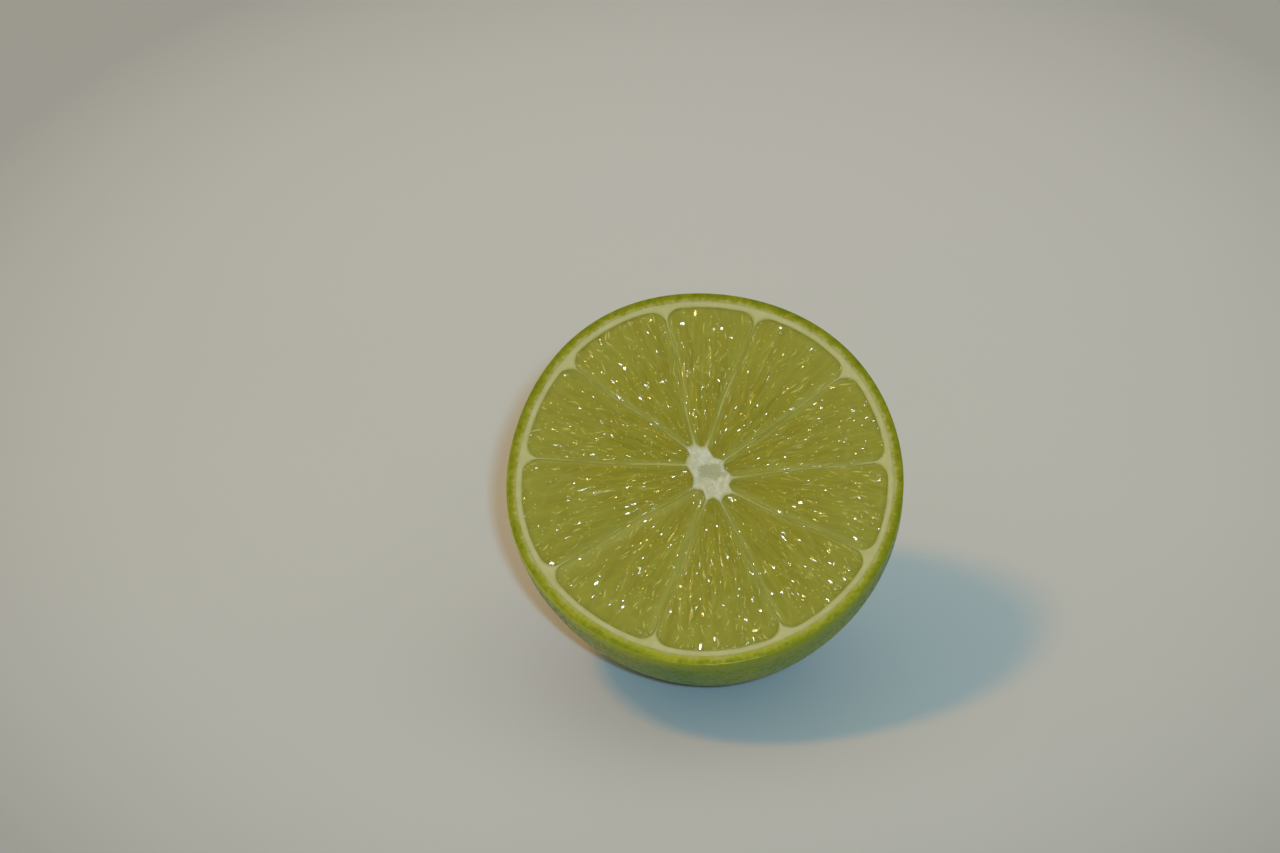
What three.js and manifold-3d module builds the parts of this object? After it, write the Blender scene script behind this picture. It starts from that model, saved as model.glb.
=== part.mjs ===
// Half of a fresh lime, cut across its core, lying on its skin with the cut face tipped up to one side.
// Millimetres, +Z up. The origin is the middle of the small flat spot that the fruit rests on, and the
// cut face looks towards -Y and up. The fruit grew as one piece, so it is one solid.
import * as THREE from "three";
import { ParametricGeometry } from "three/addons/geometries/ParametricGeometry.js";
import { mergeVertices } from "three/addons/utils/BufferGeometryUtils.js";
import Module from "manifold-3d";

const wasm = await Module();
wasm.setup();

// Driving dimensions. In the fruit's own frame the middle of the cut face is the origin, X runs to the
// right and Y up across the face, and Z points out of it.
const CUT_RADIUS = 26; // mean radius of the cut face
const HALF_DEPTH = 35; // from the cut face to the stem end
const FACE_TILT = 41; // degrees between the cut face and the table
const SPOT_DEPTH = 0.3; // how far the skin is pressed flat where the fruit rests

// The cut peel and pulp
const EDGE_ROUND = 0.25; // rounding of the skin's cut edge
const ZEST = 1.0; // width of the green outer peel on the cut
const PITH = 1.1; // width of the white inner peel on the cut
const WALL_HALF = 0.35; // from the middle of a wall between segments to the foot of the pulp beside it
const WALL_HEIGHT = 0.08; // the walls stand this proud of the cut
const PULP_DIP = -0.14; // the pulp sinks to this where it meets a wall
const PULP_CROWN = 0.34; // and swells by this towards the middle of its segment
const SAC_HEIGHT = 0.13; // ridge of a juice sac
const CORNER_BACK = 2.3; // how far the white peel runs in along each wall
const CORNER_SPAN = 2.4; // width of a segment's rounded outer corner

// The core
const CORE = new THREE.Vector2(0.55, 0.7); // middle of the core on the face
const CORE_SINK = 0.55; // depth of the soft hollow in the core

// The walls between the ten segments, picked by hand round the cut face, in degrees and millimetres:
// where each wall meets the peel (rim, about the middle of the face), where it leaves the core (arm and
// reach, about the core), and the inner tip of the segment that follows it (tip and depth).
const WALLS = [
  { rim: 7, arm: -12, reach: 3.5, tip: 19, depth: 2.2 },
  { rim: 40, arm: 39, reach: 2.7, tip: 70, depth: 2.2 },
  { rim: 75, arm: 97, reach: 3.9, tip: 107, depth: 3.7 },
  { rim: 105, arm: 117, reach: 4.9, tip: 124, depth: 4.5 },
  { rim: 140, arm: 133, reach: 4.8, tip: 140, depth: 3.5 },
  { rim: 175, arm: 164, reach: 3.2, tip: 201, depth: 2.2 },
  { rim: 215, arm: 229, reach: 3.3, tip: 253, depth: 2.8 },
  { rim: 256, arm: 268, reach: 4.3, tip: 281, depth: 3.7 },
  { rim: 298, arm: 293, reach: 4.8, tip: 304, depth: 4.0 },
  { rim: 335, arm: 320, reach: 4.5, tip: 331, depth: 3.2 },
];

// The cut outline is not quite round: each wave has its count of lobes, its height and where one peaks.
const OUTLINE_WAVES = [
  { lobes: 2, height: 0.15, peak: 128 },
  { lobes: 3, height: 0.09, peak: -9 },
  { lobes: 4, height: 0.11, peak: 28 },
  { lobes: 5, height: 0.13, peak: -17 },
];

// The stem end, as heights above the skin against the distance from the pole
const COLLAR = { radius: 4.4, width: 2.0, height: 0.35 };
const WELL = { width: 2.9, depth: 0.65 };
const SCAR = { radius: 1.7, height: 0.35 };
const FURROWS = { count: 9, depth: 0.1, reach: 9 };

// Mesh density
const COLUMNS_PER_SEGMENT = 12;
const SKIN_ROWS = 16;
const PULP_ROWS = 12;
const COLUMNS = COLUMNS_PER_SEGMENT * WALLS.length;

const radians = THREE.MathUtils.degToRad;
const { lerp, smoothstep } = THREE.MathUtils;

// A repeatable number from 0 to 1 for a juice sac.
function chance(segment, file, row) {
  const mixed = Math.sin(segment * 12.9898 + file * 78.233 + row * 37.719) * 43758.5453;
  return mixed - Math.floor(mixed);
}

// Radius of the cut outline in a direction.
function outline(angle) {
  return OUTLINE_WAVES.reduce(
    (radius, wave) => radius + wave.height * Math.cos(wave.lobes * (angle - radians(wave.peak))),
    CUT_RADIUS,
  );
}

// Height of the stem end's collar, well, scar and furrows above the plain skin.
function stemRelief(angle, radius) {
  const collar = COLLAR.height * Math.exp(-(((radius - COLLAR.radius) / COLLAR.width) ** 2));
  const well = WELL.depth * Math.exp(-((radius / WELL.width) ** 2));
  const scar = SCAR.height * (1 - smoothstep(radius, SCAR.radius * 0.7, SCAR.radius * 1.3));
  const near = Math.exp(-((radius / FURROWS.reach) ** 2)) * smoothstep(radius, 1.5, 4);
  const furrow = FURROWS.depth * near * Math.cos(FURROWS.count * angle);
  return collar - well + scar + furrow;
}

// A point of the skin. The latitude is 0 at the cut and a right angle at the stem end, where the waves
// of the outline have died away.
function skinPoint(angle, latitude, target) {
  const share = Math.cos(latitude);
  const radius = lerp(CUT_RADIUS, outline(angle), share ** 2) * share;
  const depth = EDGE_ROUND + (HALF_DEPTH - EDGE_ROUND) * Math.sin(latitude);
  const relief = stemRelief(angle, radius) * smoothstep(latitude, 0.6, 1);
  return target.set(radius * Math.cos(angle), radius * Math.sin(angle), -depth - relief);
}

// A column is one line of the mesh from the stem end over the skin and the rim to the core. It belongs
// to the segment after wall number `segment`, and `file` counts across that segment.
function column(index) {
  const wrapped = index % COLUMNS;
  const segment = Math.floor(wrapped / COLUMNS_PER_SEGMENT);
  const file = wrapped % COLUMNS_PER_SEGMENT;
  const from = WALLS[segment];
  const to = WALLS[(segment + 1) % WALLS.length];
  const wrap = segment + 1 === WALLS.length ? 360 : 0;
  return { segment, file, from, to, wrap };
}

// How far across its segment a column lies, where the segment is `width` wide: file 0 runs along the
// wall, files 1 and 11 along the two feet of the pulp, and the rest share the pulp evenly.
function across({ file }, width) {
  const foot = Math.min(WALL_HALF / width, 0.25);
  if (file === 0) return 0;
  return lerp(foot, 1 - foot, (file - 1) / (COLUMNS_PER_SEGMENT - 2));
}

// Direction of a column on the peel: even is 0 at the pulp and 1 where the columns are evenly spread.
function rimAngle(line, even) {
  const span = radians(line.to.rim + line.wrap - line.from.rim);
  const share = across(line, span * CUT_RADIUS);
  return radians(line.from.rim) + span * lerp(share, line.file / COLUMNS_PER_SEGMENT, even);
}

// The round outer end of the pulp on a column, drawn in beside the walls, where the corners are round.
function pulpOuter(line) {
  const angle = rimAngle(line, 0);
  const width = radians(line.to.rim + line.wrap - line.from.rim) * CUT_RADIUS;
  const share = across(line, width);
  const near = Math.max(0, 1 - (Math.min(share, 1 - share) * width) / CORNER_SPAN);
  const back = CORNER_BACK * (1 - Math.sqrt(1 - near ** 2));
  const radius = outline(angle) - ZEST - PITH - back;
  return new THREE.Vector2(radius * Math.cos(angle), radius * Math.sin(angle));
}

// The edge of the white core on a column: out along the walls and in round the segments' tips.
function coreEdge(line) {
  const width = radians(line.to.arm + line.wrap - line.from.arm) * line.from.reach;
  const share = across(line, width);
  const half = share < 0.5 ? line.from : { arm: line.to.arm + line.wrap, reach: line.to.reach };
  const inwards = Math.sin(Math.min(share, 1 - share) * Math.PI);
  const angle = radians(lerp(half.arm, line.from.tip, 2 * Math.min(share, 1 - share)));
  const radius = lerp(half.reach, line.from.depth, inwards);
  return new THREE.Vector2(radius * Math.cos(angle), radius * Math.sin(angle)).add(CORE);
}

// Height of the pulp above the cut. It swells between the walls, and its juice sacs lie in two rows
// that interlock halfway out. Both are lower towards the core, where the segments are narrow.
function pulpHeight(line, out) {
  if (line.file === 0) return WALL_HEIGHT;
  const acrossPulp = (line.file - 1) / (COLUMNS_PER_SEGMENT - 2);
  const swell = Math.sqrt(Math.sin(Math.PI * acrossPulp) * Math.sin(Math.PI * out));
  const narrow = smoothstep(out, -0.1, 0.6);
  const outerRow = smoothstep(out, 0.35, 0.6);
  const side = line.file % 2 ? -1 : 1;
  const height = (row) => 0.6 + 0.8 * chance(line.segment, line.file, row);
  const sac = side * lerp(-height(1), height(2), outerRow);
  return PULP_DIP + (PULP_CROWN + SAC_HEIGHT * sac) * swell * narrow;
}

function pulpPoint(line, out, target) {
  const point = coreEdge(line).lerp(pulpOuter(line), out);
  return target.set(point.x, point.y, pulpHeight(line, out));
}

// A point of the cut peel, `inset` in from the skin.
function peelPoint(line, { inset, height, even }, target) {
  const angle = rimAngle(line, even);
  const radius = outline(angle) - inset;
  return target.set(radius * Math.cos(angle), radius * Math.sin(angle), height);
}

// A point of the core, at a share of the way from its middle to its edge.
function corePoint(line, { share, height }, target) {
  const point = coreEdge(line).sub(CORE).multiplyScalar(share).add(CORE);
  return target.set(point.x, point.y, height);
}

// The rows of the mesh, from the stem end to the middle of the core. Each maps a column to a point.
function meshRows() {
  const rows = [];
  for (let i = 0; i <= SKIN_ROWS; i += 1) {
    const up = (i / SKIN_ROWS) ** 1.4;
    const even = 1 - 0.4 * up ** 8;
    rows.push((line, target) => skinPoint(rimAngle(line, even), (1 - up) * (Math.PI / 2), target));
  }
  const peel = [
    { inset: 0.3 * EDGE_ROUND, height: -0.3 * EDGE_ROUND, even: 0.6 },
    { inset: EDGE_ROUND, height: 0, even: 0.5 },
    { inset: ZEST, height: 0.03, even: 0.3 },
    { inset: ZEST + 0.55 * PITH, height: 0.06, even: 0.1 },
  ];
  peel.forEach((ring) => rows.push((line, target) => peelPoint(line, ring, target)));
  for (let i = PULP_ROWS; i >= 0; i -= 1) {
    rows.push((line, target) => pulpPoint(line, i / PULP_ROWS, target));
  }
  const core = [
    { share: 0.75, height: 0.02 },
    { share: 0.4, height: -0.6 * CORE_SINK },
    { share: 0, height: -CORE_SINK },
  ];
  core.forEach((ring) => rows.push((line, target) => corePoint(line, ring, target)));
  return rows;
}

// Drops the triangles that close up to a line at the two ends of the columns.
function withoutCollapsed(geometry) {
  const old = geometry.index.array;
  const kept = [];
  for (let i = 0; i < old.length; i += 3) {
    const [a, b, c] = [old[i], old[i + 1], old[i + 2]];
    if (a !== b && b !== c && c !== a) kept.push(a, b, c);
  }
  geometry.setIndex(kept);
  return geometry;
}

function closedMesh(geometry) {
  const bare = geometry.clone();
  bare.deleteAttribute("normal");
  bare.deleteAttribute("uv");
  return withoutCollapsed(mergeVertices(bare, 1e-4));
}

// The whole half fruit in its own frame, before it is pressed flat at its resting spot.
function fruitGeometry() {
  const rows = meshRows();
  const steps = rows.length - 1;
  const surface = (u, v, target) => rows[Math.round(v * steps)](column(Math.round(u * COLUMNS)), target);
  return closedMesh(new ParametricGeometry(surface, COLUMNS, steps));
}

function toSolid(geometry) {
  const vertProperties = geometry.attributes.position.array;
  const triVerts = new Uint32Array(geometry.index.array);
  return new wasm.Manifold(new wasm.Mesh({ numProp: 3, vertProperties, triVerts }));
}

function toGeometry(solid) {
  const { vertProperties, triVerts } = solid.getMesh();
  const geometry = new THREE.BufferGeometry();
  geometry.setAttribute("position", new THREE.BufferAttribute(vertProperties, 3));
  geometry.setIndex(new THREE.BufferAttribute(triVerts, 1));
  geometry.computeVertexNormals();
  return geometry;
}

// Where the fruit lies: turned about X until the face leans, then moved so that the lowest point of its
// skin comes over the origin and sinks SPOT_DEPTH below the table.
function restingPlace() {
  const tilt = radians(FACE_TILT);
  const below = Math.hypot(CUT_RADIUS * Math.sin(tilt), HALF_DEPTH * Math.cos(tilt));
  const ahead = ((HALF_DEPTH ** 2 - CUT_RADIUS ** 2) * Math.sin(tilt) * Math.cos(tilt)) / below;
  const place = new THREE.Object3D();
  place.rotation.x = tilt;
  place.position.set(0, -ahead, below - SPOT_DEPTH);
  place.updateMatrix();
  return place;
}

// Everything below the table, in the fruit's own frame.
function tableBlock(place) {
  const size = CUT_RADIUS;
  const block = new THREE.BoxGeometry(size, size, size).translate(0, 0, -size / 2);
  return closedMesh(block.applyMatrix4(place.matrix.clone().invert()));
}

// Colours of the skin, the cut peel and the pulp, given to the vertices so that the one solid shows them
const SKIN = new THREE.Color(0x5f7d1e);
const ZEST_CUT = new THREE.Color(0x7d8420);
const PITH_WHITE = new THREE.Color(0xc3c8a0);
const PULP = new THREE.Color(0x8c8a38);

function colourAt(x, y, z) {
  const radius = Math.hypot(x, y);
  const inset = outline(Math.atan2(y, x)) - radius;
  if (z < -1.5 * EDGE_ROUND && radius > 5) return SKIN;
  if (z < -HALF_DEPTH / 2) return SKIN;
  if (inset < ZEST * 0.8) return ZEST_CUT;
  if (inset < ZEST + 0.7 * PITH) return PITH_WHITE;
  if (Math.hypot(x - CORE.x, y - CORE.y) < 2.1) return PITH_WHITE;
  return Math.abs(z - WALL_HEIGHT) < 1e-3 ? PITH_WHITE : PULP;
}

function colourVertices(geometry) {
  const place = geometry.attributes.position;
  const colours = new Float32Array(place.count * 3);
  for (let i = 0; i < place.count; i += 1) {
    colourAt(place.getX(i), place.getY(i), place.getZ(i)).toArray(colours, i * 3);
  }
  geometry.setAttribute("color", new THREE.BufferAttribute(colours, 3));
  return geometry;
}

function limeHalf() {
  const place = restingPlace();
  const pressed = toSolid(fruitGeometry()).subtract(toSolid(tableBlock(place)));
  const material = new THREE.MeshStandardMaterial({ vertexColors: true, roughness: 0.35, metalness: 0 });
  const mesh = new THREE.Mesh(colourVertices(toGeometry(pressed)), material);
  mesh.name = "lime_half";
  mesh.position.copy(place.position);
  mesh.rotation.copy(place.rotation);
  return mesh;
}

const lime = new THREE.Group();
lime.add(limeHalf());

export default lime;
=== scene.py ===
import math
import bpy
import numpy as np
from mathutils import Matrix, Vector


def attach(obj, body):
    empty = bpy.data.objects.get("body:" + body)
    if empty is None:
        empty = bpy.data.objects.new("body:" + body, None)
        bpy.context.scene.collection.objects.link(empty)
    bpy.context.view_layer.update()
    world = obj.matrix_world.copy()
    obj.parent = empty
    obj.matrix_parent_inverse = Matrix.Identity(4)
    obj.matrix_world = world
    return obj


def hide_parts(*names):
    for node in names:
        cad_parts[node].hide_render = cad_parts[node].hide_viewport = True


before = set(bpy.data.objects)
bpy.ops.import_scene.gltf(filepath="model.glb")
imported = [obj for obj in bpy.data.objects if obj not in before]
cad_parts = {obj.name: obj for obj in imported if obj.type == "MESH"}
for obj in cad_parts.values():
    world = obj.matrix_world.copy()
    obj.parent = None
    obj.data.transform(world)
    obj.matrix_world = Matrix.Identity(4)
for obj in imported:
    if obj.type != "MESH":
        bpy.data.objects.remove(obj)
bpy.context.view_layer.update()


# Floor, lamps and camera
# A plain pale floor, a warm lamp on the left, a cool one beside the camera, and pale light all round.
# The fruit lies with its cut face leaning back, and the camera looks down on that face. Sizes of the fruit's
# bodies are in millimetres, and places in the scene and sizes in materials and trees are in metres.
CUT_RADIUS = 26.0
HALF_DEPTH = 35.0
FACE_TILT = math.radians(41.0)
SPOT_DEPTH = 0.3
VIEW_TURN = math.radians(2.8)
VIEW_ELEVATION = math.radians(28.2)
CAMERA_AWAY = 0.937
LENS = 202.0
SENSOR = 36.0
PICTURE = (1280, 853)
FACE_PIXEL = (704.5, 476.5)
WARM_FROM = Vector((-1.12, -0.67, 2.1))
COOL_FROM = Vector((0.13, -1.279, 0.774))
# Name, place, size, watts and colour of each lamp, and whether it makes glints or shades the surfaces
LAMPS = (
    ("warm_lamp", WARM_FROM, 0.36, 19.5, (1.0, 0.42, 0.03), False),
    ("cool_lamp", COOL_FROM, 0.045, 16.0, (0.34, 0.68, 1.0), False),
    ("warm_glint", WARM_FROM, 0.2, 15.0, (1.0, 0.74, 0.30), True),
    ("cool_glint", COOL_FROM, 0.2, 9.0, (0.86, 0.95, 1.0), True),
)
ROOM_LIGHT = (0.425, 0.46, 0.365)
FLOOR_SIZE = 6.0
FLOOR_COLOURS = ((0.55, 0.545, 0.54), (0.58, 0.57, 0.56))
FLOOR_BEHIND = (0.605, 0.60, 0.62)
FLOOR_CLOUD = 0.06
# Painted shade on the floor: its colour darkens with distance from this middle, as the lamps' light falls
# off
FLOOR_FALLOFF_MIDDLE = (-0.008, 0.076, 0.0)
FLOOR_FALLOFF_REACH = (0.083, 0.117, 1.0)
FLOOR_PAINTED_FALLOFF = 0.068
BLACK = (0.0, 0.0, 0.0)
NO_VECTOR = (0.0, 0.0, 0.0)


def lay_down(points):
    """From the fruit's own frame, in millimetres with the cut face at z 0, to where it lies, in metres."""
    sine = math.sin(FACE_TILT)
    cosine = math.cos(FACE_TILT)
    below = math.hypot(CUT_RADIUS * sine, HALF_DEPTH * cosine)
    ahead = (HALF_DEPTH**2 - CUT_RADIUS**2) * sine * cosine / below
    x, y, z = np.moveaxis(np.asarray(points, float), -1, 0)
    height = y * sine + z * cosine + below - SPOT_DEPTH
    return np.stack([x, y * cosine - z * sine - ahead, np.maximum(height, 0.0)], -1) * 0.001


def fill(tree, node, values):
    """Gives a node's inputs their values; a socket is linked."""
    for key, value in values.items():
        if isinstance(value, bpy.types.NodeSocket):
            tree.links.new(value, node.inputs[key])
        else:
            node.inputs[key].default_value = value


def add_node(tree, kind, values=None, **settings):
    """One node with its settings and the values of its inputs."""
    made = tree.nodes.new(kind)
    for name, value in settings.items():
        setattr(made, name, value)
    fill(tree, made, values or {})
    return made


def result(tree, kind, values=None, **settings):
    """The first output of a new node."""
    return add_node(tree, kind, values, **settings).outputs[0]


def sums(tree, operation, first, second=0.0, third=0.0):
    """The result of one sum on numbers or sockets."""
    return result(tree, "ShaderNodeMath", {0: first, 1: second, 2: third}, operation=operation)


def times(tree, first, second):
    """The product of two numbers or sockets."""
    return sums(tree, "MULTIPLY", first, second)


def vector(tree, operation, first, second=NO_VECTOR, third=NO_VECTOR):
    """The result of one sum on vectors."""
    values = {0: first, 1: second, 2: third}
    return result(tree, "ShaderNodeVectorMath", values, operation=operation)


def parts(tree, value):
    """The three numbers of a vector or colour."""
    return add_node(tree, "ShaderNodeSeparateXYZ", {0: value}).outputs


def mixed(tree, share, first, second):
    """Two colours mixed by a share from 0 to 1."""
    first, second = ((*colour, 1.0) if isinstance(colour, tuple) else colour for colour in (first, second))
    values = {0: share, 6: first, 7: second}
    return add_node(tree, "ShaderNodeMix", values, data_type="RGBA", clamp_factor=True).outputs[2]


def spread(tree, value, low, high, to_low=0.0, to_high=1.0):
    """A value's range from low to high brought smoothly to another range, and held at its ends."""
    values = {0: value, 1: low, 2: high, 3: to_low, 4: to_high}
    return result(tree, "ShaderNodeMapRange", values, interpolation_type="SMOOTHSTEP")


def noise(tree, place, size, detail=2.0, roughness=0.5):
    """Soft noise from 0 to 1 whose lumps are about `size` across, which is a number or a socket."""
    scale = 1.0 / size if isinstance(size, float) else sums(tree, "DIVIDE", 1.0, size)
    values = {"Vector": place, "Scale": scale, "Detail": detail, "Roughness": roughness}
    return result(tree, "ShaderNodeTexNoise", values)


def new_material(name):
    """A material, its tree to add to, its shader, and the places on the object."""
    material = bpy.data.materials.new(name)
    material.use_nodes = True
    tree = material.node_tree
    tree.nodes.clear()
    shader = add_node(tree, "ShaderNodeBsdfPrincipled")
    add_node(tree, "ShaderNodeOutputMaterial", {0: shader.outputs[0]})
    return material, tree, shader, add_node(tree, "ShaderNodeTexCoord").outputs["Object"]


def floor_material():
    """Smooth pale laminate, very slightly uneven in colour and gloss, and painted a little darker far out:
    painted shade for the lamps' light falling off away from the middle.
    """
    material, tree, shader, place = new_material("pale_floor")
    cloud = noise(tree, place, FLOOR_CLOUD, 3.0)
    behind = spread(tree, parts(tree, place)[1], 0.02, 0.22)
    colour = mixed(tree, behind, mixed(tree, cloud, *FLOOR_COLOURS), FLOOR_BEHIND)
    # Painted shade: the floor is made darker the further it is from the middle
    away = vector(tree, "DIVIDE", vector(tree, "SUBTRACT", place, FLOOR_FALLOFF_MIDDLE), FLOOR_FALLOFF_REACH)
    away = add_node(tree, "ShaderNodeVectorMath", {0: away}, operation="LENGTH").outputs["Value"]
    painted_falloff = sums(tree, "MINIMUM", times(tree, sums(tree, "POWER", away, 4.0), FLOOR_PAINTED_FALLOFF), 0.3)
    fill(tree, shader, {
        "Base Color": mixed(tree, painted_falloff, colour, BLACK),
        "Roughness": spread(tree, cloud, 0.2, 0.8, 0.46, 0.56),
        "Specular IOR Level": 0.2,
    })
    return material


def area_lamp(name, place, size, watts, colour, glints):
    """A square lamp that looks at the middle of the scene."""
    lamp = bpy.data.lights.new(name, "AREA")
    lamp.size = size
    lamp.energy = watts
    lamp.color = colour
    made = bpy.data.objects.new(name, lamp)
    made.location = place
    made.rotation_euler = (-place).to_track_quat("-Z", "Y").to_euler()
    made.visible_glossy = glints
    made.visible_diffuse = not glints
    bpy.context.collection.objects.link(made)


def place_camera():
    """The camera, turned so that the middle of the cut face falls on its pixel."""
    data = bpy.data.cameras.new("camera")
    data.lens = LENS
    data.sensor_width = SENSOR
    data.clip_start = 0.01
    made = bpy.data.objects.new("camera", data)
    level = math.cos(VIEW_ELEVATION)
    back = Vector((math.sin(VIEW_TURN) * level, -math.cos(VIEW_TURN) * level, math.sin(VIEW_ELEVATION)))
    right = Vector((math.cos(VIEW_TURN), math.sin(VIEW_TURN), 0.0))
    up = back.cross(right)
    metres_per_pixel = CAMERA_AWAY * SENSOR / LENS / PICTURE[0]
    right_of_middle = (FACE_PIXEL[0] - PICTURE[0] / 2) * metres_per_pixel
    below_middle = (FACE_PIXEL[1] - PICTURE[1] / 2) * metres_per_pixel
    face_middle = Vector(lay_down([0.0, 0.0, 0.0]))
    aim = face_middle - right * right_of_middle + up * below_middle
    made.location = face_middle + back * CAMERA_AWAY
    made.rotation_euler = (aim - made.location).to_track_quat("-Z", "Y").to_euler()
    bpy.context.collection.objects.link(made)
    bpy.context.scene.camera = made


bpy.ops.mesh.primitive_plane_add(size=FLOOR_SIZE)
floor = bpy.context.object
floor.name = "floor"
floor.data.materials.append(floor_material())
place_camera()
for lamp in LAMPS:
    area_lamp(*lamp)
room = bpy.data.worlds.new("room")
room.use_nodes = True
room.node_tree.nodes["Background"].inputs["Color"].default_value = (*ROOM_LIGHT, 1.0)
bpy.context.scene.world = room
bpy.context.scene.view_settings.view_transform = "Standard"


# Peel
# The outer skin of the half: green zest about a millimetre thick with oil glands just under a waxy surface,
# and the start of the white layer inside it. It grew round the fruit, and the knife left its edge bare.
EDGE_ROUND = 0.25
ZEST = 1.0
PEEL_THICK = 1.35
CUT_RISE = 0.05
OUTLINE_WAVES = ((2, 0.15, 128), (3, 0.09, -9), (4, 0.11, 28), (5, 0.13, -17))
COLLAR_RADIUS = 4.4
COLLAR_WIDTH = 2.0
COLLAR_HEIGHT = 0.35
WELL_WIDTH = 2.9
WELL_DEPTH = 0.65
FURROW_COUNT = 9
FURROW_DEPTH = 0.1
FURROW_REACH = 9.0
SKIN_COLUMNS = 592
SKIN_ROWS = 168
INNER_ROWS = 36
GLAND_SPACING = 0.00088
GLAND_RANDOM = 0.85
PORE_SIZES = {
    "Gland spacing": GLAND_SPACING,
    "Gland depth": 0.000065,
    "Wave size": 0.007,
    "Wave height": 0.00022,
}
SPOTS_PER_METRE = 130.0
SPECKS_PER_METRE = 115.0
SKIN_COLOURS = ((0.095, 0.165, 0.002), (0.215, 0.235, 0.002))
SKIN_AT_STEM = (0.07, 0.13, 0.002)
# Painted light: the skin just below the cut edge painted paler, in its usual colour and on the left side
# toward the warm lamp
SKIN_PAINTED_LIGHT_AT_CUT = ((0.255, 0.262, 0.001), (0.430, 0.405, 0.003))
SPOT_GREEN = (0.045, 0.11, 0.002)
GLAND_DARK = (0.05, 0.11, 0.002)
GLAND_PALE = (0.26, 0.29, 0.01)
SPECK_BROWN = (0.028, 0.04, 0.008)
PITH_DEEP = (0.40, 0.352, 0.11)
# The cut peel from the skin inwards, as shares of its thickness and colours
CUT_COLOURS = (
    (0.0, (0.130, 0.150, 0.001)),
    (0.12, (0.175, 0.180, 0.002)),
    (0.40, (0.225, 0.212, 0.005)),
    (0.66, (0.275, 0.250, 0.013)),
    (0.82, (0.350, 0.320, 0.060)),
    (0.97, PITH_DEEP),
)
CUT_GLAND = (0.13, 0.155, 0.003)
# Painted light on the lower side of the cut peel
CUT_PAINTED_LIGHT = (0.44, 0.41, 0.03)


def smooth(value, low, high):
    """0 below low, 1 above high, and a smooth rise between them."""
    share = np.clip((value - low) / (high - low), 0.0, 1.0)
    return share * share * (3.0 - 2.0 * share)


def outline(angle):
    """Radius of the cut outline in a direction."""
    waves = [height * np.cos(lobes * (angle - math.radians(peak))) for lobes, height, peak in OUTLINE_WAVES]
    return CUT_RADIUS + sum(waves)


def turns(count):
    """Angles of so many points all the way round."""
    return np.arange(count) * 2.0 * math.pi / count


def around(angle, radius):
    """Flat points at angles and radii from the middle."""
    return np.stack([radius * np.cos(angle), radius * np.sin(angle)], -1)


def lifted(flat, height):
    """Flat points brought to a height, which is one number or one for each."""
    return np.concatenate([flat, np.broadcast_to(height, flat.shape[:-1])[..., None]], -1)


def stem_relief(angle, radius):
    """Height of the stem end's collar, well and furrows above the plain skin."""
    collar = COLLAR_HEIGHT * np.exp(-(((radius - COLLAR_RADIUS) / COLLAR_WIDTH) ** 2))
    well = WELL_DEPTH * np.exp(-((radius / WELL_WIDTH) ** 2))
    near = np.exp(-((radius / FURROW_REACH) ** 2)) * smooth(radius, 1.5, 4.0)
    return collar - well + FURROW_DEPTH * near * np.cos(FURROW_COUNT * angle)


def skin_ring(latitude, count, inset=0.0):
    """A ring of the skin or a layer `inset` in it, at latitude 0 by the cut and 90 degrees at the stem."""
    angle = turns(count)
    share = math.cos(latitude)
    radius = (CUT_RADIUS + (outline(angle) - CUT_RADIUS) * share**2 - inset) * share
    depth = EDGE_ROUND + (HALF_DEPTH - EDGE_ROUND - inset) * math.sin(latitude)
    relief = stem_relief(angle, radius) * smooth(latitude, 0.6, 1.0)
    return lifted(around(angle, radius), -depth - relief)


def cut_ring(inset, height, count=SKIN_COLUMNS):
    """A ring of the cut peel, `inset` in from the skin."""
    angle = turns(count)
    return lifted(around(angle, outline(angle) - inset), height)


def thinned(latitude, count):
    """Fewer points on the rings near the stem end, where they are short."""
    share = math.cos(latitude)
    return count // (1 if share > 0.56 else 2 if share > 0.28 else 4 if share > 0.13 else 8)


def stitched(first, second):
    """Faces between two rings of point numbers; one of them may have half as many points as the other."""
    if len(first) == len(second):
        return [[a, b, c, d] for a, b, c, d in zip(first, np.roll(first, -1), np.roll(second, -1), second)]
    if len(first) < len(second):
        return [face[::-1] for face in stitched(second, first)]
    faces = []
    for i, near in enumerate(second):
        far = second[(i + 1) % len(second)]
        a, b, c = first[2 * i], first[2 * i + 1], first[(2 * i + 2) % len(first)]
        faces += [[a, b, near], [b, far, near], [b, c, far]]
    return faces


def closed_rings(rings):
    """Points and faces of one closed body from rings in order; a point closes it at either end."""
    numbers = []
    start = 0
    for ring in rings:
        numbers.append(np.arange(start, start + len(ring)))
        start += len(ring)
    faces = []
    for first, second in zip(numbers, numbers[1:]):
        if len(first) == 1:
            faces += [[first[0], b, a] for a, b in zip(second, np.roll(second, -1))]
        elif len(second) == 1:
            faces += [[a, b, second[0]] for a, b in zip(first, np.roll(first, -1))]
        else:
            faces += stitched(first, second)
    return np.concatenate(rings), faces


def new_piece(name, points, faces, material, **marks):
    """An object at the origin from points in metres, its faces turned outwards, with marks at its points."""
    mesh = bpy.data.meshes.new(name)
    mesh.from_pydata(points.tolist(), [], [[int(i) for i in face] for face in faces])
    mesh.calc_loop_triangles()
    corners = np.empty(len(mesh.loop_triangles) * 3, int)
    mesh.loop_triangles.foreach_get("vertices", corners)
    a, b, c = points[corners.reshape(-1, 3)].transpose(1, 0, 2)
    if np.einsum("ij,ij->", a, np.cross(b, c)) < 0:
        mesh.flip_normals()
    for mark, values in marks.items():
        flat = values.ndim == 1
        layer = mesh.attributes.new(mark, "FLOAT" if flat else "FLOAT_VECTOR", "POINT")
        layer.data.foreach_set("value" if flat else "vector", values.ravel())
    mesh.shade_smooth()
    mesh.materials.append(material)
    piece = bpy.data.objects.new(name, mesh)
    bpy.context.collection.objects.link(piece)
    return piece


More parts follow.
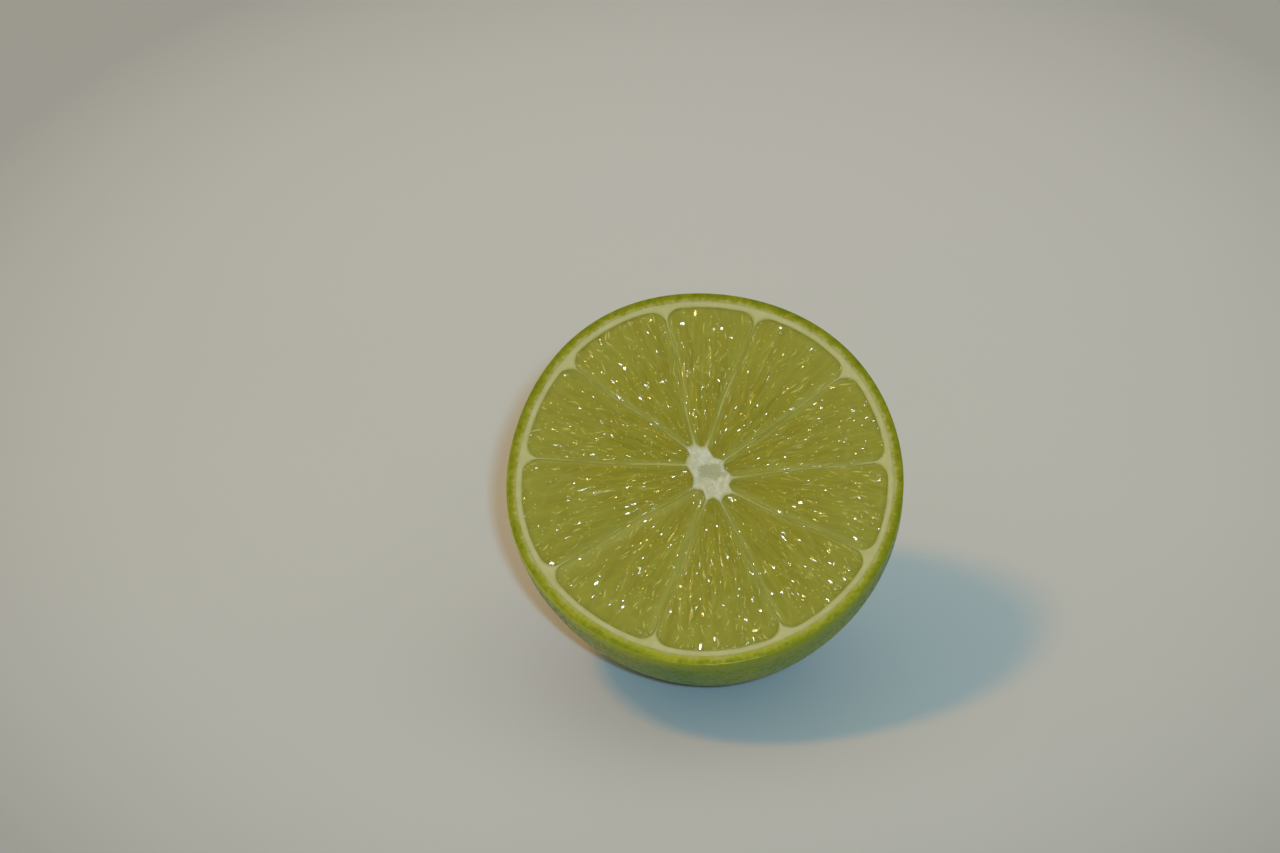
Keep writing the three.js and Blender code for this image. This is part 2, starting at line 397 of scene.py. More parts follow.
def new_tree(name, sizes):
    """A geometry tree with named number inputs; gives the tree, its inputs, its output node and a place."""
    tree = bpy.data.node_groups.new(name, "GeometryNodeTree")
    tree.interface.new_socket(name="Geometry", in_out="INPUT", socket_type="NodeSocketGeometry")
    for title, value in sizes.items():
        socket = tree.interface.new_socket(name=title, in_out="INPUT", socket_type="NodeSocketFloat")
        socket.default_value = value
    tree.interface.new_socket(name="Geometry", in_out="OUTPUT", socket_type="NodeSocketGeometry")
    start = add_node(tree, "NodeGroupInput").outputs
    place = result(tree, "GeometryNodeInputPosition")
    return tree, start, add_node(tree, "NodeGroupOutput"), place


def carried(tree, name, kind="FLOAT"):
    """What the piece's points carry under a name, in a geometry tree."""
    found = add_node(tree, "GeometryNodeInputNamedAttribute", {"Name": name}, data_type=kind)
    return found.outputs["Attribute"]


def scaled(tree, direction, length):
    """A vector times a number."""
    values = {0: direction, "Scale": length}
    return result(tree, "ShaderNodeVectorMath", values, operation="SCALE")


def moved(tree, geometry, direction, rise):
    """The geometry with each point moved in a direction."""
    values = {"Geometry": geometry, "Offset": scaled(tree, direction, rise)}
    return result(tree, "GeometryNodeSetPosition", values)


def finish_tree(tree, geometry, end, material):
    """The end of every tree: real faces and the piece's material."""
    real = result(tree, "GeometryNodeRealizeInstances", {0: geometry})
    done = result(tree, "GeometryNodeSetMaterial", {"Geometry": real, "Material": material})
    fill(tree, end, {0: done})
    return tree


def grow(piece, tree, sizes):
    """Runs a geometry tree on the piece, keeps the result as its plain mesh and presses it to the floor."""
    step = piece.modifiers.new(tree.name, "NODES")
    step.node_group = tree
    for item in tree.interface.items_tree:
        if item.in_out == "INPUT" and item.name in sizes:
            step[item.identifier] = sizes[item.name]
    graph = bpy.context.evaluated_depsgraph_get()
    grown = piece.evaluated_get(graph)
    made = bpy.data.meshes.new_from_object(grown, preserve_all_data_layers=True, depsgraph=graph)
    piece.modifiers.remove(step)
    old = piece.data
    piece.data = made
    bpy.data.meshes.remove(old)
    points = np.empty(len(made.vertices) * 3)
    made.vertices.foreach_get("co", points)
    points[2::3] = np.maximum(points[2::3], 0.0)
    made.vertices.foreach_set("co", points)
    made.update()
    return points.reshape(-1, 3)


def cells(tree, place, scale=1.0, randomness=1.0, **settings):
    """The sockets of a pattern of scattered cells."""
    values = {"Vector": place, "Scale": scale, "Randomness": randomness}
    return add_node(tree, "ShaderNodeTexVoronoi", values, **settings).outputs


def attribute(tree, name):
    """A number that the mesh carries at its points, in a material."""
    return add_node(tree, "ShaderNodeAttribute", attribute_name=name).outputs["Fac"]


def layered(tree, colour, layers):
    """A colour with others laid over it in order, each by its own share."""
    for share, added in layers:
        colour = mixed(tree, share, colour, added)
    return colour


def bumped(tree, height, distance, strength):
    """The surface's normal, bent by fine relief."""
    values = {"Height": height, "Distance": distance, "Strength": strength}
    return result(tree, "ShaderNodeBump", values)


def skin_colour(tree, place, gland, tone, patch, fine):
    """The skin from green to yellow, with painted light: paler just below the cut, and paler and yellower on
    the left side toward the warm lamp; with spots, dark and pale glands and brown specks.
    """
    near_cut = attribute(tree, "near_cut")
    ripe = sums(tree, "ADD", times(tree, noise(tree, place, 0.02), 0.75), times(tree, patch, 0.35))
    # Painted warm light: the left side, toward the warm lamp, is painted paler and yellower
    painted_warm_side = spread(tree, parts(tree, place)[0], -0.022, 0.004, 1.0, 0.0)
    ripe = sums(tree, "MULTIPLY_ADD", painted_warm_side, 0.2, ripe)
    # Painted light: the skin just below the cut edge is painted paler
    painted_light_at_cut = mixed(tree, painted_warm_side, *SKIN_PAINTED_LIGHT_AT_CUT)
    spots = cells(tree, place, SPOTS_PER_METRE)
    spot_size = spread(tree, parts(tree, spots["Color"])[0], 0.5, 1.0, 0.03, 0.16)
    spot = sums(tree, "DIVIDE", spots["Distance"], spot_size)
    specks = cells(tree, place, SPECKS_PER_METRE)
    speck_edge = times(tree, spread(tree, parts(tree, specks["Color"])[1], 0.72, 1.0), 0.075)
    speck = sums(tree, "LESS_THAN", specks["Distance"], speck_edge)
    return layered(tree, mixed(tree, spread(tree, ripe, 0.42, 0.72), *SKIN_COLOURS), (
        (spread(tree, attribute(tree, "stemward"), 0.45, 1.0, 0.0, 0.5), SKIN_AT_STEM),
        (times(tree, near_cut, spread(tree, patch, 0.2, 0.8, 0.75, 1.0)), painted_light_at_cut),
        (spread(tree, spot, 0.4, 1.0, 0.65, 0.0), SPOT_GREEN),
        (times(tree, gland, spread(tree, near_cut, 0.0, 0.9, 0.19, 0.08)), GLAND_DARK),
        (spread(tree, times(tree, tone, fine), 0.35, 0.75, 0.0, 0.25), GLAND_PALE),
        (times(tree, speck, 0.7), SPECK_BROWN),
    ))


def cut_peel_colour(tree, place, gland, inset):
    """The cut peel from dark green through olive to white, ragged, with the glands that the knife opened,
    and painted light that brightens its lower side.
    """
    uneven = spread(tree, noise(tree, place, 0.0035), 0.3, 0.7, -0.17, 0.17)
    ragged = spread(tree, noise(tree, place, 0.0007, 3.0, 0.7), 0.3, 0.7, -0.27, 0.27)
    depth = sums(tree, "ADD", sums(tree, "ADD", inset, uneven), ragged)
    ramp = add_node(tree, "ShaderNodeValToRGB", {0: sums(tree, "DIVIDE", depth, PEEL_THICK)})
    stops = ramp.color_ramp.elements
    for number, (position, colour) in enumerate(CUT_COLOURS):
        stop = stops[number] if number < 2 else stops.new(position)
        stop.position = position
        stop.color = (*colour, 1.0)
    # Painted light: the lower side of the cut band is painted brighter and yellower
    low_side = spread(tree, parts(tree, place)[2], 0.012, 0.03, 1.0, 0.0)
    painted_light_share = times(tree, low_side, spread(tree, depth, 0.9, 1.25, 0.5, 0.0))
    painted_light_share = times(tree, painted_light_share, spread(tree, depth, 0.05, 0.8, 0.4, 1.0))
    cut = mixed(tree, painted_light_share, ramp.outputs[0], CUT_PAINTED_LIGHT)
    opened = times(tree, gland, spread(tree, inset, 0.5, 0.95, 0.55, 0.0))
    return mixed(tree, opened, cut, CUT_GLAND)


def peel_material():
    """Waxy green skin over its oil glands, and the cut edge of the peel."""
    material, tree, shader, place = new_material("lime_peel")
    glands = cells(tree, place, 1.0 / GLAND_SPACING, GLAND_RANDOM)
    gland = spread(tree, glands["Distance"], 0.16, 0.58, 1.0, 0.0)
    patch = noise(tree, place, 0.0045, 3.0, 0.6)
    fine = noise(tree, place, 0.0006)
    skin = skin_colour(tree, place, gland, parts(tree, glands["Color"])[0], patch, fine)
    inset = attribute(tree, "inset")
    cut = cut_peel_colour(tree, place, gland, inset)
    gloss = spread(tree, gland, 0.0, 1.0, 0.30, 0.44)
    relief = sums(tree, "SUBTRACT", times(tree, fine, 0.35), gland)
    strength = spread(tree, attribute(tree, "near_cut"), 0.0, 0.8, 0.8, 0.25)
    fill(tree, shader, {
        "Base Color": mixed(tree, spread(tree, inset, 0.02, 0.12), skin, cut),
        "Roughness": sums(tree, "ADD", gloss, spread(tree, patch, 0.3, 0.7, 0.0, 0.08)),
        "Normal": bumped(tree, relief, 0.00015, strength),
        "Subsurface Weight": 0.5, "Subsurface Radius": (0.9, 1.0, 0.25), "Subsurface Scale": 0.0011,
        "Specular IOR Level": 0.04, "Coat Weight": 0.25, "Coat Roughness": 0.22,
    })
    return material


def peel_body():
    """Points, faces, depths under the skin and shares of the way to the stem, from the inside outwards."""
    rings = []
    insets = []
    stemward = []

    def keep(ring, inset, share=0.0):
        rings.append(ring)
        insets.append(np.full(len(ring), inset))
        stemward.append(np.full(len(ring), share))

    keep(np.array([[0.0, 0.0, -(HALF_DEPTH - PEEL_THICK) + WELL_DEPTH]]), PEEL_THICK, 1.0)
    for latitude in np.linspace(math.pi / 2, 0.02, INNER_ROWS)[1:]:
        keep(skin_ring(latitude, thinned(latitude, SKIN_COLUMNS // 4), PEEL_THICK), PEEL_THICK)
    keep(cut_ring(PEEL_THICK, -0.12, SKIN_COLUMNS // 2), PEEL_THICK)
    keep(cut_ring(PEEL_THICK, CUT_RISE), PEEL_THICK)
    for inset in np.linspace(PEEL_THICK - 0.015, EDGE_ROUND, 9):
        keep(cut_ring(inset, CUT_RISE * smooth(inset, EDGE_ROUND, ZEST)), inset)
    for turn in np.radians((72.0, 48.0, 24.0, 0.0)):
        inset = EDGE_ROUND * (1.0 - math.cos(turn))
        keep(cut_ring(inset, EDGE_ROUND * (math.sin(turn) - 1.0)), inset)
    for latitude in np.linspace(0.0, math.pi / 2, SKIN_ROWS)[1:-1]:
        keep(skin_ring(latitude, thinned(latitude, SKIN_COLUMNS)), 0.0, math.sin(latitude))
    keep(np.array([[0.0, 0.0, -HALF_DEPTH + WELL_DEPTH]]), 0.0, 1.0)
    return *closed_rings(rings), np.concatenate(insets), np.concatenate(stemward)


def pore_tree(material):
    """Geometry tree: the skin's shallow waves, and the pit over each oil gland."""
    tree, start, end, place = new_tree("skin_pores", PORE_SIZES)
    glands = cells(tree, place, sums(tree, "DIVIDE", 1.0, start["Gland spacing"]), GLAND_RANDOM)
    pit = spread(tree, glands["Distance"], 0.12, 0.52, 1.0, 0.0)
    wave = sums(tree, "SUBTRACT", noise(tree, place, start["Wave size"], 1.0), 0.5)
    rise = times(tree, wave, start["Wave height"])
    rise = sums(tree, "SUBTRACT", rise, times(tree, pit, start["Gland depth"]))
    normal = result(tree, "GeometryNodeInputNormal")
    pitted = moved(tree, start[0], normal, times(tree, rise, carried(tree, "skin")))
    return finish_tree(tree, pitted, end, material)


peel_finish = peel_material()
peel_points, peel_faces, peel_inset, peel_stemward = peel_body()
skin_mark = smooth(-peel_points[:, 2], 0.1, 0.7) * (peel_inset == 0.0)
near_cut_mark = 1.0 - smooth(-peel_points[:, 2], 0.2, 4.2)
peel = new_piece(
    "peel", lay_down(peel_points), peel_faces, peel_finish,
    inset=peel_inset, stemward=peel_stemward, skin=skin_mark, near_cut=near_cut_mark,
)
grow(peel, pore_tree(peel_finish), PORE_SIZES)
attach(peel, "root")
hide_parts("lime_half")


# Pith
# The white body inside the peel: a spongy layer, the ten thin walls between the segments and the core,
# all grown together. Its deep pockets hold the pulp, and its core has dried to a soft hollow.
PITH = 1.1
WALL_HALF = 0.15
WALL_HEIGHT = 0.03
CORE = np.array([0.55, 0.7])
CORE_SINK = 0.3
HOLLOW = np.array([0.95, 0.95])
HOLLOW_REACH = np.array([2.3, 1.5])
CORNER_BACK = 2.3
CORNER_SPAN = 2.4
# Each wall: its angle at the peel, and the angle and length of the core's arm that it grows from; then the
# angle and distance from the core's middle of the next segment's tip
WALLS = (
    (7, -12, 3.5, 19, 2.2),
    (40, 39, 2.7, 70, 2.2),
    (75, 97, 3.9, 107, 3.7),
    (105, 117, 4.9, 124, 4.5),
    (140, 133, 4.8, 140, 3.5),
    (175, 164, 3.2, 201, 2.2),
    (215, 229, 3.3, 253, 2.8),
    (256, 268, 4.3, 281, 3.7),
    (298, 293, 4.8, 304, 4.0),
    (335, 320, 4.5, 331, 3.2),
)
WALL_SWAY = 0.22
PITH_COLUMNS = 36
CORE_SHARES = np.linspace(0.04, 0.96, 24)
PULP_SHARES = np.linspace(0.0, 1.0, 61)
PEEL_SHARES = np.linspace(0.0, 1.0, 11)[1:]
RIM_LAP = 0.12
POCKET_DEPTHS = np.array([-0.35, -1.0, -2.2, -4.5, -8.0, -13.0, -18.0, -23.0, -27.0, -30.0])
PULP_FLOOR = 31.5
PITH_SIZES = {"Grain": 0.0011, "Height": 0.00012, "Core height": 0.0002}
OUTWARD = (0.0, -math.sin(FACE_TILT), math.cos(FACE_TILT))
PITH_PALE = (0.545, 0.488, 0.24)
CORE_WHITES = ((0.475, 0.430, 0.270), (0.585, 0.535, 0.375))
HOLLOW_GREY = (0.37, 0.335, 0.175)
HOLLOW_DEEP = (0.25, 0.22, 0.10)
WALL_COLOURS = ((0.325, 0.272, 0.010), (0.430, 0.365, 0.055))


def wall_pair(segment):
    """The walls before and after a segment, the second turned on so that its angles are larger."""
    first = WALLS[segment]
    second = WALLS[(segment + 1) % len(WALLS)]
    wrap = 360 if segment + 1 == len(WALLS) else 0
    return first, (second[0] + wrap, second[1] + wrap, *second[2:])


def peel_angle(segment, share):
    """The angle at the peel, at a share of the way between a segment's walls."""
    first, second = wall_pair(segment)
    return np.radians(first[0] + (second[0] - first[0]) * share)


def pulp_outer(segment, share):
    """The end of the pulp at the peel, at a share of the way between the walls; its corners are round."""
    first, second = wall_pair(segment)
    angle = peel_angle(segment, share)
    from_wall = np.minimum(share, 1.0 - share) * math.radians(second[0] - first[0]) * CUT_RADIUS
    near = np.clip(1.0 - from_wall / CORNER_SPAN, 0.0, 1.0)
    return around(angle, outline(angle) - ZEST - PITH - CORNER_BACK * (1.0 - np.sqrt(1.0 - near**2)))


def core_edge(segment, share):
    """The edge of the white core: out along the walls and in round the segment's tip."""
    first, second = wall_pair(segment)
    half = np.minimum(share, 1.0 - share)
    arm = np.where(share < 0.5, first[1], second[1])
    reach = np.where(share < 0.5, first[2], second[2])
    angle = np.radians(arm + (first[3] - arm) * 2.0 * half)
    return CORE + around(angle, reach + (first[4] - reach) * np.sin(half * math.pi) ** 0.7)


def foot_shares(segment):
    """How much of the segment's inner and outer width one half of a wall takes."""
    first, second = wall_pair(segment)
    inner = math.radians(second[1] - first[1]) * first[2]
    outer = math.radians(second[0] - first[0]) * CUT_RADIUS
    return min(WALL_HALF / inner, 0.2), WALL_HALF / outer


def wall_shift(wall, out):
    """How far a wall sways sideways from a straight line, along its length from the core."""
    wall = wall % len(WALLS)
    sideways = math.radians(WALLS[wall][0]) + math.pi / 2
    waves = 0.7 + 0.45 * ((wall * 7) % 5) / 4
    amount = WALL_SWAY * np.sin(math.pi * out) * np.sin(2.0 * math.pi * out * waves + wall * 2.4)
    return around(sideways, amount)


def pulp_place(segment, inner_share, outer_share, out):
    """A point of a segment's area on the face, from the core's edge at out 0 to the peel's at 1."""
    point = core_edge(segment, inner_share) * (1.0 - out[..., None])
    point = point + pulp_outer(segment, outer_share) * out[..., None]
    sway = wall_shift(segment, out) * (1.0 - outer_share[..., None])
    return point + sway + wall_shift(segment + 1, out) * outer_share[..., None]


def pith_columns(segment):
    """Shares across one segment at its inner and outer end: two in the wall, then the pulp's."""
    pulp = (1.0 - np.cos(np.linspace(0.0, math.pi, PITH_COLUMNS))) / 2.0
    pulp = 0.5 * pulp + 0.5 * np.linspace(0.0, 1.0, PITH_COLUMNS)
    columns = []
    for foot in foot_shares(segment):
        across = foot + (1.0 - 2.0 * foot) * pulp
        columns.append(np.concatenate([[0.0, foot * 0.55], across, [1.0 - foot * 0.55]]))
    return columns


def border(numbers):
    """The point numbers round the edge of a grid, in order."""
    return np.concatenate([numbers[0, :-1], numbers[:-1, -1], numbers[-1, :0:-1], numbers[:0:-1, 0]])


def hang(points, faces, ring, loops, tip):
    """Adds loops of points below a ring of point numbers, each stitched to the last, and a closing tip."""
    total = sum(map(len, points))
    for loop in loops:
        points.append(loop)
        lower = np.arange(total, total + len(ring))
        total += len(ring)
        faces += stitched(lower, ring)
        ring = lower
    points.append(np.array([tip]))
    faces += [[total, b, a] for a, b in zip(ring, np.roll(ring, -1))]


def add_pocket(points, faces, flat, ring):
    """Adds the sides and bottom under a segment's border: they draw in to the stem end as the fruit does."""
    shares = np.sqrt(1.0 - (POCKET_DEPTHS / PULP_FLOOR) ** 2)
    loops = [lifted(flat * share, depth) for share, depth in zip(shares, POCKET_DEPTHS)]
    hang(points, faces, ring, loops, [*(flat.mean(0) * 0.05), -PULP_FLOOR])


def pith_body():
    """Points, faces and marks of the pith: the cut surface, the pockets and the round back."""
    per_segment = PITH_COLUMNS + 3
    columns = per_segment * len(WALLS)
    rows = len(CORE_SHARES) + len(PULP_SHARES) + len(PEEL_SHARES)
    grid = np.zeros((rows, columns, 3))
    wall_mark = np.zeros((rows, columns))
    core_mark = np.zeros((rows, columns))
    soft_mark = np.ones((rows, columns))
    first_pulp = len(CORE_SHARES)
    last_pulp = first_pulp + len(PULP_SHARES) - 1
    for segment in range(len(WALLS)):
        inner, outer = pith_columns(segment)
        span = slice(segment * per_segment, (segment + 1) * per_segment)
        edge = core_edge(segment, inner)
        for row, share in enumerate(CORE_SHARES):
            grid[row, span, :2] = CORE + (edge - CORE) * share
            grid[row, span, 2] = -CORE_SINK * (1.0 - smooth(share, 0.1, 0.85))
            core_mark[row, span] = 1.0 - 0.6 * smooth(share, 0.84, 1.0)
            wall_mark[row, span] = 0.6 * smooth(share, 0.84, 1.0)
        in_wall = np.minimum(outer, 1.0 - outer) < foot_shares(segment)[1] * 0.9
        for row, out in enumerate(PULP_SHARES, first_pulp):
            grid[row, span, :2] = pulp_place(segment, inner, outer, np.full(len(inner), out))
            grid[row, span, 2] = np.where(in_wall, WALL_HEIGHT, 0.0)
            soft_mark[row, span] = 0.2
            from_core = 0.6 + 0.4 * smooth(out, 0.0, 0.05)
            wall_mark[row, span] = from_core * (1.0 - 0.15 * smooth(out, 0.88, 1.0))
            core_mark[row, span] = 0.4 * (1.0 - smooth(out, 0.0, 0.08))
        angle = peel_angle(segment, outer)
        rim = around(angle, outline(angle) - PEEL_THICK + RIM_LAP)
        for row, share in enumerate(PEEL_SHARES, last_pulp + 1):
            grid[row, span, :2] = grid[last_pulp, span, :2] * (1.0 - share) + rim * share
            rise = CUT_RISE * smooth(share, 0.0, 0.4)
            grid[row, span, 2] = rise + 0.004 - 0.03 * smooth(share, 0.88, 1.0)
            soft_mark[row, span] = 1.0 - smooth(share, 0.5, 0.85)
            wall_mark[row, span] = 0.85 * (1.0 - smooth(share, 0.0, 0.4))
    numbers = np.arange(rows * columns).reshape(rows, columns) + 1
    flat_grid = grid.reshape(-1, 3)
    points = [np.array([[*CORE, -CORE_SINK]]), flat_grid]
    faces = [[0, a, b] for a, b in zip(numbers[0], np.roll(numbers[0], -1))]
    for row, (near, far) in enumerate(zip(numbers, numbers[1:])):
        for column in range(columns):
            if first_pulp <= row < last_pulp and 2 <= column % per_segment < per_segment - 2:
                continue
            after = (column + 1) % columns
            faces.append([near[column], far[column], far[after], near[after]])
    for left in range(2, columns, per_segment):
        ring = border(numbers[first_pulp : last_pulp + 1, left : left + per_segment - 3])
        add_pocket(points, faces, flat_grid[ring - 1, :2], ring)
    bottom = HALF_DEPTH - PEEL_THICK
    back = []
    for latitude in np.linspace(0.0, math.pi / 2, 26)[:-1]:
        depth = 0.2 + (bottom - 0.2) * math.sin(latitude)
        back.append(lifted(grid[-1, :, :2] * math.cos(latitude) * 0.9995, -depth))
    hang(points, faces, numbers[-1], back, [0.0, 0.0, -bottom])
    points = np.concatenate(points)
    marks = []
    for middle, mark in ((0.0, wall_mark), (1.0, core_mark), (1.0, soft_mark)):
        below = np.zeros(len(points) - mark.size - 1)
        marks.append(np.concatenate([[middle], mark.ravel(), below]))
    return points, faces, marks


def pith_material():
    """Moist white pith: greener in the thin walls, and grey and open in the hollow of the core."""
    material, tree, shader, place = new_material("lime_pith")
    fibre = noise(tree, place, 0.00035, 2.0, 0.6)
    cloud = noise(tree, place, 0.0016, 3.0, 0.6)
    mottle = spread(tree, noise(tree, place, 0.0007, 3.0, 0.65), 0.35, 0.65)
    torn = noise(tree, place, 0.0008, 4.0, 0.75)
    torn = sums(tree, "MULTIPLY_ADD", torn, 2.4, attribute(tree, "hollow"))
    faint = spread(tree, noise(tree, place, 0.0045), 0.35, 0.65)
    colour = layered(tree, mixed(tree, cloud, PITH_DEEP, PITH_PALE), (
        (attribute(tree, "core"), mixed(tree, mottle, *CORE_WHITES)),
        (spread(tree, torn, 1.60, 1.78, 0.0, 0.85), HOLLOW_GREY),
        (spread(tree, torn, 2.30, 2.5, 0.0, 0.6), HOLLOW_DEEP),
        (attribute(tree, "wall"), mixed(tree, faint, *WALL_COLOURS)),
    ))
    fill(tree, shader, {
        "Base Color": colour,
        "Roughness": spread(tree, fibre, 0.3, 0.7, 0.42, 0.6),
        "Normal": bumped(tree, fibre, 0.00012, 0.5),
        "Subsurface Weight": 0.9, "Subsurface Radius": (1.0, 1.0, 0.6), "Subsurface Scale": 0.0008,
        "Specular IOR Level": 0.25, "Coat Weight": 0.1, "Coat Roughness": 0.2,
    })
    return material


def pith_tree(material):
    """Geometry tree: the soft unevenness of the cut pith, deeper and more open in the core."""
    tree, start, end, place = new_tree("soft_pith", PITH_SIZES)
    grain = sums(tree, "SUBTRACT", noise(tree, place, start["Grain"]), 0.55)
    core = times(tree, carried(tree, "hollow"), start["Core height"])
    rise = times(tree, grain, sums(tree, "ADD", start["Height"], core))
    uneven = moved(tree, start[0], OUTWARD, times(tree, rise, carried(tree, "face")))
    return finish_tree(tree, uneven, end, material)


pith_finish = pith_material()
pith_points, pith_faces, (wall_mark, core_mark, face_mark) = pith_body()
from_hollow = np.hypot(*((pith_points[:, :2] - HOLLOW) / HOLLOW_REACH).T)
hollow_mark = (1.0 - smooth(from_hollow, 0.2, 1.3)) * face_mark
pith = new_piece(
    "pith", lay_down(pith_points), pith_faces, pith_finish,
    wall=wall_mark, core=core_mark, hollow=hollow_mark, face=face_mark,
)
grow(pith, pith_tree(pith_finish), PITH_SIZES)
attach(pith, "root")
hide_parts("lime_half")


# Pulp
# Ten segments of juice sacs, long thin-skinned drops that grow in from the peel and point at the core.
# The knife opened them, so their surface is wet, and each segment swells a little between its walls.
PULP_DIP = -0.02
PULP_CROWN = 0.30
PULP_ACROSS = 91
PULP_ALONG = 141
PULP_LAP = 0.6
TOP_NUMBERS = np.arange(PULP_ALONG * PULP_ACROSS).reshape(PULP_ALONG, PULP_ACROSS)
SAC_SIZES = {"Sac width": 0.9, "Sac length": 6.0, "Sac height": 0.00017, "Ripple": 0.00005}
SAC_DRIFT = (1.3, 4.0, 0.0)
APEX_BACK = 7.0
FAN_RADIUS = 19.0
FAN_APART = 60.0
FAN_BEND = 0.35
# Facets of the wet film, short and long: width, length, chance to lie flat, lean and roundness
FACET_KINDS = ((0.36, 0.5, 0.35, 0.46, 0.09), (0.22, 2.2, 0.50, 0.46, 0.09))
# Reach of the paleness beside each wall, on the side before it and on the side after it
PALE_BANDS = (
    (0.35, 0.45), (0.55, 0.60), (0.30, 0.35), (0.35, 0.30), (0.50, 0.35),
    (0.30, 0.30), (0.30, 1.30), (0.90, 0.35), (0.40, 0.50), (0.35, 0.60),
)
PULP_COLOURS = ((0.230, 0.187, 0.001), (0.296, 0.247, 0.006))
PULP_TONE = (0.33, 0.29, 0.02)
PULP_DEEP = (0.205, 0.172, 0.001)
PULP_MILKY = (0.33, 0.305, 0.040)
SAC_SEAM = (0.38, 0.36, 0.075)
WALL_SHINE = (0.365, 0.345, 0.075)
PULP_RIM = (0.21, 0.195, 0.008)
# Painted light: the golden colour of lamp light caught and refracted in the sacs
PAINTED_CAUGHT_LIGHT = (0.66, 0.56, 0.15)
# What pulp and juice have in common
WET = {"IOR": 1.36, "Subsurface Weight": 1.0, "Subsurface Radius": (1.0, 0.95, 0.35), "Coat Weight": 1.0}


def quads(numbers):
    """The faces of a grid of point numbers."""
    faces = []
    for low, high in zip(numbers, numbers[1:]):
        faces += [[a, b, c, d] for a, b, c, d in zip(low, low[1:], high[1:], high)]
    return faces


def pale_band(segment, across, flat):
    """How strongly the walls shine through the pulp beside them: each has its own width on either side."""
    width = np.linalg.norm(flat[:, -1] - flat[:, 0], axis=-1)[:, None]
    first = PALE_BANDS[segment][1]
    second = PALE_BANDS[(segment + 1) % len(WALLS)][0]
    near_first = np.exp(-((across * width / first) ** 2))
    near_second = np.exp(-(((1.0 - across) * width / second) ** 2))
    return np.maximum(near_first, near_second)


def fan_place(segment, points):
    """Places in the fan of a segment: sideways and outwards in millimetres from a point behind the core."""
    first, second = wall_pair(segment)
    middle = math.radians((first[0] + second[0]) / 2)
    away = points[:, :2] - (CORE - around(middle, APEX_BACK))
    sideways = (np.arctan2(away[:, 1], away[:, 0]) - middle + math.pi) % (2.0 * math.pi) - math.pi
    flat = np.stack([sideways * FAN_RADIUS + segment * FAN_APART, np.hypot(*away.T)], -1)
    return lifted(flat, 0.0)


def pulp_body(segment):
    """Points, faces and marks of one segment: the cut top, then the sides below it."""
    across = np.linspace(0.0, 1.0, PULP_ACROSS)[None, :] * np.ones((PULP_ALONG, 1))
    out = np.linspace(-0.006, 1.003, PULP_ALONG)[:, None] * np.ones((1, PULP_ACROSS))
    inner, outer = (lap + (1.0 - 2.0 * lap) * across for lap in np.array(foot_shares(segment)) * PULP_LAP)
    flat = pulp_place(segment, inner, outer, out)
    along = np.clip(out, 0.0, 1.0)
    swell = np.clip(np.sin(math.pi * across) * np.sin(math.pi * along), 0.0, 1.0) ** 0.6
    top = lifted(flat, PULP_DIP + PULP_CROWN * swell * smooth(along, -0.1, 0.6)).reshape(-1, 3)
    faces = quads(TOP_NUMBERS)
    points = [top]
    ring = border(TOP_NUMBERS)
    add_pocket(points, faces, top[ring, :2], ring)
    points = np.concatenate(points)
    marks = {"swell": swell * smooth(along, -0.05, 0.65), "peelward": along}
    marks["band"] = pale_band(segment, across, flat)
    for name, values in marks.items():
        marks[name] = np.concatenate([values.ravel(), np.zeros(len(points) - len(top))])
    return points, faces, {"fan": fan_place(segment, points), **marks}


def noise_colour(tree, place, scale, detail):
    """Three soft numbers from 0 to 1 that vary over the fan."""
    values = {"Vector": place, "Scale": scale, "Detail": detail}
    return add_node(tree, "ShaderNodeTexNoise", values).outputs["Color"]


def sac_tree(material):
    """Geometry tree: bulging juice sacs in the fan of a segment, each with its own height and tone."""
    tree, start, end, _ = new_tree("juice_sacs", SAC_SIZES)
    place = carried(tree, "fan", "FLOAT_VECTOR")
    centred = vector(tree, "SUBTRACT", noise_colour(tree, place, 0.2, 1.0), (0.5, 0.5, 0.5))
    split = parts(tree, vector(tree, "MULTIPLY_ADD", centred, SAC_DRIFT, place))
    x = sums(tree, "DIVIDE", split[0], start["Sac width"])
    y = sums(tree, "DIVIDE", split[1], start["Sac length"])
    in_sacs = result(tree, "ShaderNodeCombineXYZ", {0: x, 1: y})
    own = parts(tree, cells(tree, in_sacs, voronoi_dimensions="2D")["Color"])
    edge = cells(tree, in_sacs, voronoi_dimensions="2D", feature="DISTANCE_TO_EDGE")["Distance"]
    height = sums(tree, "MULTIPLY_ADD", sums(tree, "POWER", own[0], 2.5), 0.8, 0.3)
    rise = times(tree, times(tree, spread(tree, edge, 0.0, 0.42), height), start["Sac height"])
    ripple = times(tree, sums(tree, "SUBTRACT", noise(tree, place, 0.625), 0.5), start["Ripple"])
    rise = times(tree, sums(tree, "ADD", rise, ripple), carried(tree, "swell"))
    bulging = moved(tree, start[0], OUTWARD, rise)
    for name, value in (("tone", own[1]), ("seam", spread(tree, edge, 0.0, 0.12, 1.0, 0.0))):
        values = {"Geometry": bulging, "Name": name, "Value": value}
        bulging = result(tree, "GeometryNodeStoreNamedAttribute", values, domain="POINT")
    return finish_tree(tree, bulging, end, material)


def in_fan(tree, width, length, wander=0.0):
    """Places in the fan, in units of a feature so wide and so long in millimetres, which may wander."""
    place = add_node(tree, "ShaderNodeAttribute", attribute_name="fan").outputs["Vector"]
    bend = noise_colour(tree, place, FAN_BEND, 0.0)
    place = vector(tree, "MULTIPLY_ADD", bend, (wander, wander, 0.0), place)
    return vector(tree, "MULTIPLY", place, (1.0 / width, 1.0 / length, 1.0))


def fan_streaks(tree, width, length):
    """Soft streaks from 0 to 1 that run with the juice sacs."""
    values = {"Vector": in_fan(tree, width, length), "Scale": 1.0, "Detail": 2.0, "Roughness": 0.55}
    return result(tree, "ShaderNodeTexNoise", values, noise_dimensions="2D")


